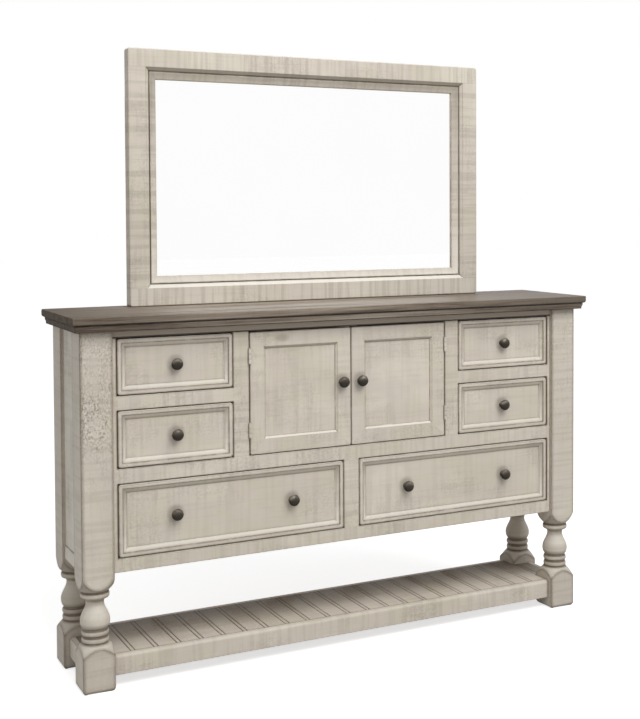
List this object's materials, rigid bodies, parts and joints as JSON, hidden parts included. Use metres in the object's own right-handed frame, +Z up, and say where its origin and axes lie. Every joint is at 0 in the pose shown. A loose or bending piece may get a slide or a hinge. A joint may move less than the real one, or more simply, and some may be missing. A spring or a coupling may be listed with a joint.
{
  "type": "dresser with mirror",
  "caption": "Farmhouse dresser on turned legs with doors, drawers and a planked shelf, and a framed mirror that stands on its dark top.",
  "frame": {"origin": "on the floor under the middle of the dresser's outer box", "axes": "+X to the right seen from the front, +Y to the back, +Z up"},
  "size_m": [1.78, 0.395, 1.8963],
  "materials": {
    "painted_wood": "distressed off-white paint with a brown glaze in its saw marks and corners",
    "stained_wood": "weathered grey-brown stain",
    "bare_wood": "unpainted pale wood",
    "hardboard": "smooth brown board",
    "bronze": "dark bronze, soft sheen",
    "hinge_paint": "painted over with the case",
    "catch_metal": "dull steel",
    "mirror_glass": "silvered glass"
  },
  "bodies": {
    "root": {"front_left_leg": "painted_wood", "front_right_leg": "painted_wood", "back_left_leg": "painted_wood", "back_right_leg": "painted_wood", "face_frame": "painted_wood", "left_side_panel": "painted_wood", "right_side_panel": "painted_wood", "shelf_front_rail": "painted_wood", "shelf_back_rail": "painted_wood", "shelf_left_rail": "painted_wood", "shelf_right_rail": "painted_wood", "shelf_planks": "painted_wood", "mirror_frame": "painted_wood", "top_board": "stained_wood", "top_edge_moulding": "stained_wood", "left_upper_partition": "bare_wood", "right_upper_partition": "bare_wood", "lower_partition": "bare_wood", "middle_deck": "bare_wood", "bottom_deck": "bare_wood", "left_mirror_support": "bare_wood", "right_mirror_support": "bare_wood", "back_panel": "hardboard", "mirror_backboard": "hardboard", "mirror_glass": "mirror_glass", "door_catch": "catch_metal", "left_upper_hinge_case_leaf": "hinge_paint", "left_lower_hinge_case_leaf": "hinge_paint", "right_upper_hinge_case_leaf": "hinge_paint", "right_lower_hinge_case_leaf": "hinge_paint"},
    "left_small_upper_drawer": {"left_small_upper_drawer_front": "painted_wood", "left_small_upper_drawer_box": "bare_wood", "left_small_upper_drawer_knob": "bronze"},
    "left_small_lower_drawer": {"left_small_lower_drawer_front": "painted_wood", "left_small_lower_drawer_box": "bare_wood", "left_small_lower_drawer_knob": "bronze"},
    "left_wide_drawer": {"left_wide_drawer_front": "painted_wood", "left_wide_drawer_box": "bare_wood", "left_wide_drawer_left_knob": "bronze", "left_wide_drawer_right_knob": "bronze"},
    "left_door": {"left_door_frame": "painted_wood", "left_door_panel": "painted_wood", "left_door_knob": "bronze", "left_upper_hinge_door_leaf": "hinge_paint", "left_lower_hinge_door_leaf": "hinge_paint"},
    "right_small_upper_drawer": {"right_small_upper_drawer_front": "painted_wood", "right_small_upper_drawer_box": "bare_wood", "right_small_upper_drawer_knob": "bronze"},
    "right_small_lower_drawer": {"right_small_lower_drawer_front": "painted_wood", "right_small_lower_drawer_box": "bare_wood", "right_small_lower_drawer_knob": "bronze"},
    "right_wide_drawer": {"right_wide_drawer_front": "painted_wood", "right_wide_drawer_box": "bare_wood", "right_wide_drawer_left_knob": "bronze", "right_wide_drawer_right_knob": "bronze"},
    "right_door": {"right_door_frame": "painted_wood", "right_door_panel": "painted_wood", "right_door_knob": "bronze", "right_upper_hinge_door_leaf": "hinge_paint", "right_lower_hinge_door_leaf": "hinge_paint"}
  },
  "joints": [
    {"name": "left_small_upper_drawer_slide", "type": "slide", "parent": "root", "child": "left_small_upper_drawer", "axis": [0, -1, 0], "range_m": [0, 0.24]},
    {"name": "left_small_lower_drawer_slide", "type": "slide", "parent": "root", "child": "left_small_lower_drawer", "axis": [0, -1, 0], "range_m": [0, 0.24]},
    {"name": "left_wide_drawer_slide", "type": "slide", "parent": "root", "child": "left_wide_drawer", "axis": [0, -1, 0], "range_m": [0, 0.24]},
    {"name": "left_door_hinge", "type": "hinge", "parent": "root", "child": "left_door", "pos_m": [-0.344, -0.1578, 0.832], "axis": [0, 0, -1], "range_deg": [0, 90]},
    {"name": "right_small_upper_drawer_slide", "type": "slide", "parent": "root", "child": "right_small_upper_drawer", "axis": [0, -1, 0], "range_m": [0, 0.24]},
    {"name": "right_small_lower_drawer_slide", "type": "slide", "parent": "root", "child": "right_small_lower_drawer", "axis": [0, -1, 0], "range_m": [0, 0.24]},
    {"name": "right_wide_drawer_slide", "type": "slide", "parent": "root", "child": "right_wide_drawer", "axis": [0, -1, 0], "range_m": [0, 0.24]},
    {"name": "right_door_hinge", "type": "hinge", "parent": "root", "child": "right_door", "pos_m": [0.344, -0.1578, 0.832], "axis": [0, 0, 1], "range_deg": [0, 90]}
  ]
}
